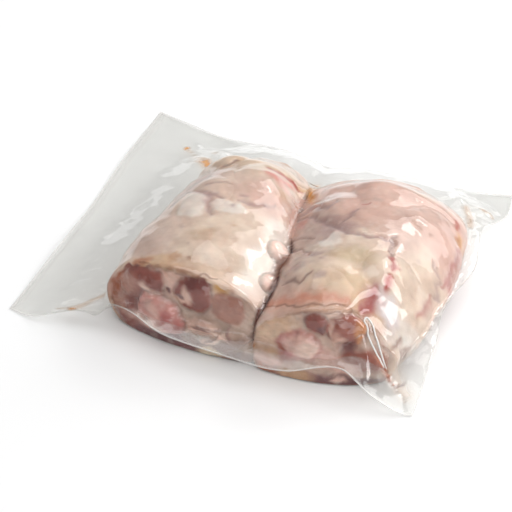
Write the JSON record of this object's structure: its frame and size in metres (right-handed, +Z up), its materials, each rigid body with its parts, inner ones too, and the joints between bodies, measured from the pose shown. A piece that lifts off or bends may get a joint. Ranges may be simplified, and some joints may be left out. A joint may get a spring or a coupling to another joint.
{
  "type": "vacuum-packed raw calf foot",
  "caption": "Clear vacuum pouch shrunk round chunky skin-on pieces of raw calf foot lying side by side, with a wavy film flange all round.",
  "frame": {"origin": "middle of the bounding box on the table it lies on", "axes": "+X along the pack, from the left piece to the right one, +Y from the cut faces at the front to the back, +Z up"},
  "size_m": [0.2852, 0.2614, 0.0602],
  "materials": {
    "calf_skin": "wet raw skin, fat and meat under film",
    "clear_film": "glossy clear vacuum film, slightly milky where it lies double"
  },
  "bodies": {
    "root": {"calf_foot_pack": "calf_skin"}
  },
  "joints": []
}
